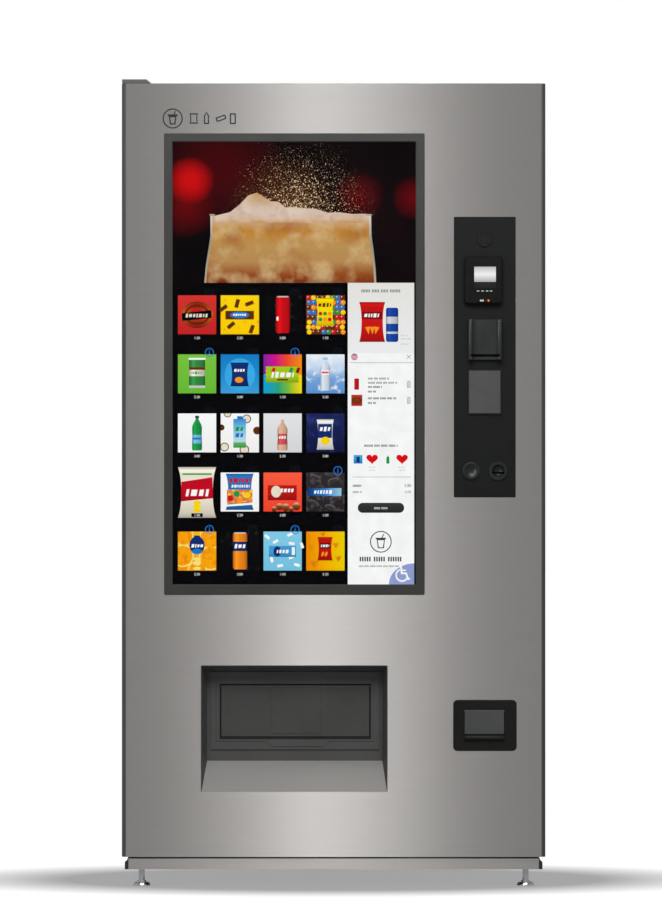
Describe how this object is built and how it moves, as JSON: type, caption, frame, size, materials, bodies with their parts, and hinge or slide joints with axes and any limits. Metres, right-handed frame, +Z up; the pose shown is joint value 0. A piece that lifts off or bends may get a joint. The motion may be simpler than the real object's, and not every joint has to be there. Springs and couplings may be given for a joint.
{
  "type": "snack vending machine",
  "caption": "Free-standing snack vending machine with a hinged front door, tall touch display, payment column, pickup recess with push-in flap, and spiral trays inside.",
  "frame": {"origin": "on the floor at the centre of the bounding box", "axes": "+Z up, -Y towards the customer, +X to the right seen from the front"},
  "size_m": [0.965, 0.86, 1.8387],
  "materials": {
    "brushed_door_steel": "satin, fine horizontal brushing",
    "dark_edge_trim": "satin dark grey",
    "cabinet_paint": "satin powder coat",
    "cover_paint": "satin powder coat",
    "back_zinc": "galvanised sheet",
    "plinth_steel": "satin",
    "base_paint": "matt black",
    "foot_chrome": "polished",
    "hinge_zinc": "zinc plated",
    "liner_white": "smooth white enamel",
    "door_liner_white": "vacuum-formed white sheet",
    "tray_coat": "epoxy coated",
    "spiral_wire": "zinc plated wire",
    "motor_plastic": "moulded",
    "duct_sheet": "mill finish",
    "fin_aluminium": "mill finish fins",
    "fan_plastic": "moulded",
    "compressor_black": "gloss enamel",
    "control_grey": "fine texture",
    "inlet_plastic": "moulded",
    "gasket_rubber": "soft",
    "bezel_black": "semi-gloss",
    "screen_glass": "clear, hardened",
    "display_case": "lit picture area in front",
    "panel_dark": "fine texture",
    "terminal_dark": "fine texture",
    "sensor_grey": "ring with dark lens",
    "acceptor_dark": "satin",
    "blank_grey": "fine texture",
    "coin_metal": "dark satin",
    "changer_plastic": "moulded",
    "cup_black": "fine texture",
    "recess_grey": "fine texture",
    "bin_grey": "moulded",
    "lock_chrome": "polished face"
  },
  "bodies": {
    "cabinet": {"cabinet_shell": "cabinet_paint", "inner_liner": "liner_white", "back_panel": "back_zinc", "base_frame": "base_paint", "plinth": "plinth_steel", "levelling_feet": "foot_chrome", "hinge_brackets": "hinge_zinc", "hinge_cover": "cover_paint", "lock_strike": "hinge_zinc", "trays": "tray_coat", "spiral_motors": "motor_plastic", "air_duct": "duct_sheet", "evaporator": "fin_aluminium", "cooling_base": "base_paint", "compressor": "compressor_black", "condenser": "fin_aluminium", "control_box": "control_grey", "power_inlet": "inlet_plastic"},
    "door": {"door_skin": "brushed_door_steel", "door_edge_trims": "dark_edge_trim", "door_frame": "hinge_zinc", "door_liner": "door_liner_white", "door_gasket": "gasket_rubber", "screen_bezel": "bezel_black", "touch_glass": "screen_glass", "display_module": "display_case", "payment_panel": "panel_dark", "card_terminal": "terminal_dark", "sensor_window": "sensor_grey", "bill_acceptor": "acceptor_dark", "blank_plate": "blank_grey", "coin_entry": "coin_metal", "coin_changer": "changer_plastic", "coin_cup": "cup_black", "delivery_surround": "recess_grey", "delivery_bin": "bin_grey"},
    "delivery_flap": {"delivery_flap": "recess_grey"},
    "coin_flap": {"coin_flap": "cup_black"},
    "coin_button": {"coin_button": "coin_metal"},
    "door_lock": {"door_lock": "lock_chrome"},
    "evaporator_fan": {"evaporator_fan": "fan_plastic"},
    "condenser_fan": {"condenser_fan": "fan_plastic"},
    "spiral_11": {"spiral_11": "spiral_wire"},
    "spiral_12": {"spiral_12": "spiral_wire"},
    "spiral_13": {"spiral_13": "spiral_wire"},
    "spiral_14": {"spiral_14": "spiral_wire"},
    "spiral_21": {"spiral_21": "spiral_wire"},
    "spiral_22": {"spiral_22": "spiral_wire"},
    "spiral_23": {"spiral_23": "spiral_wire"},
    "spiral_24": {"spiral_24": "spiral_wire"},
    "spiral_31": {"spiral_31": "spiral_wire"},
    "spiral_32": {"spiral_32": "spiral_wire"},
    "spiral_33": {"spiral_33": "spiral_wire"},
    "spiral_34": {"spiral_34": "spiral_wire"},
    "spiral_41": {"spiral_41": "spiral_wire"},
    "spiral_42": {"spiral_42": "spiral_wire"},
    "spiral_43": {"spiral_43": "spiral_wire"},
    "spiral_44": {"spiral_44": "spiral_wire"}
  },
  "joints": [
    {"name": "main_door", "type": "hinge", "parent": "cabinet", "child": "door", "pos_m": [-0.4625, -0.317, 0.9], "axis": [0, 0, -1], "range_deg": [0, 105]},
    {"name": "delivery_flap_hinge", "type": "hinge", "parent": "door", "child": "delivery_flap", "pos_m": [-0.0877, -0.3523, 0.452], "axis": [1, 0, 0], "range_deg": [0, 65]},
    {"name": "coin_flap_hinge", "type": "hinge", "parent": "door", "child": "coin_flap", "pos_m": [0.3432, -0.4078, 0.3995], "axis": [1, 0, 0], "range_deg": [0, 50]},
    {"name": "coin_return_button", "type": "slide", "parent": "door", "child": "coin_button", "axis": [0, 1, 0], "range_m": [0, 0.004], "stiffness_N_per_m": 900, "springref_m": -0.002},
    {"name": "door_lock_turn", "type": "hinge", "parent": "door", "child": "door_lock", "pos_m": [0.458, -0.345, 0.7], "axis": [-1, 0, 0], "range_deg": [0, 90]},
    {"name": "evaporator_fan_spin", "type": "hinge", "parent": "cabinet", "child": "evaporator_fan", "pos_m": [-0.116, 0.198, 0.395], "axis": [0, 1, 0], "continuous": true},
    {"name": "condenser_fan_spin", "type": "hinge", "parent": "cabinet", "child": "condenser_fan", "pos_m": [0.135, 0.332, 0.176], "axis": [0, 1, 0], "continuous": true},
    {"name": "spiral_11_turn", "type": "hinge", "parent": "cabinet", "child": "spiral_11", "pos_m": [-0.362, 0.05, 0.61525], "axis": [0, 1, 0], "continuous": true},
    {"name": "spiral_12_turn", "type": "hinge", "parent": "cabinet", "child": "spiral_12", "pos_m": [-0.198, 0.05, 0.61525], "axis": [0, 1, 0], "continuous": true},
    {"name": "spiral_13_turn", "type": "hinge", "parent": "cabinet", "child": "spiral_13", "pos_m": [-0.034, 0.05, 0.61525], "axis": [0, 1, 0], "continuous": true},
    {"name": "spiral_14_turn", "type": "hinge", "parent": "cabinet", "child": "spiral_14", "pos_m": [0.13, 0.05, 0.61525], "axis": [0, 1, 0], "continuous": true},
    {"name": "spiral_21_turn", "type": "hinge", "parent": "cabinet", "child": "spiral_21", "pos_m": [-0.362, 0.05, 0.92025], "axis": [0, 1, 0], "continuous": true},
    {"name": "spiral_22_turn", "type": "hinge", "parent": "cabinet", "child": "spiral_22", "pos_m": [-0.198, 0.05, 0.92025], "axis": [0, 1, 0], "continuous": true},
    {"name": "spiral_23_turn", "type": "hinge", "parent": "cabinet", "child": "spiral_23", "pos_m": [-0.034, 0.05, 0.92025], "axis": [0, 1, 0], "continuous": true},
    {"name": "spiral_24_turn", "type": "hinge", "parent": "cabinet", "child": "spiral_24", "pos_m": [0.13, 0.05, 0.92025], "axis": [0, 1, 0], "continuous": true},
    {"name": "spiral_31_turn", "type": "hinge", "parent": "cabinet", "child": "spiral_31", "pos_m": [-0.362, 0.05, 1.22525], "axis": [0, 1, 0], "continuous": true},
    {"name": "spiral_32_turn", "type": "hinge", "parent": "cabinet", "child": "spiral_32", "pos_m": [-0.198, 0.05, 1.22525], "axis": [0, 1, 0], "continuous": true},
    {"name": "spiral_33_turn", "type": "hinge", "parent": "cabinet", "child": "spiral_33", "pos_m": [-0.034, 0.05, 1.22525], "axis": [0, 1, 0], "continuous": true},
    {"name": "spiral_34_turn", "type": "hinge", "parent": "cabinet", "child": "spiral_34", "pos_m": [0.13, 0.05, 1.22525], "axis": [0, 1, 0], "continuous": true},
    {"name": "spiral_41_turn", "type": "hinge", "parent": "cabinet", "child": "spiral_41", "pos_m": [-0.362, 0.05, 1.53025], "axis": [0, 1, 0], "continuous": true},
    {"name": "spiral_42_turn", "type": "hinge", "parent": "cabinet", "child": "spiral_42", "pos_m": [-0.198, 0.05, 1.53025], "axis": [0, 1, 0], "continuous": true},
    {"name": "spiral_43_turn", "type": "hinge", "parent": "cabinet", "child": "spiral_43", "pos_m": [-0.034, 0.05, 1.53025], "axis": [0, 1, 0], "continuous": true},
    {"name": "spiral_44_turn", "type": "hinge", "parent": "cabinet", "child": "spiral_44", "pos_m": [0.13, 0.05, 1.53025], "axis": [0, 1, 0], "continuous": true}
  ]
}
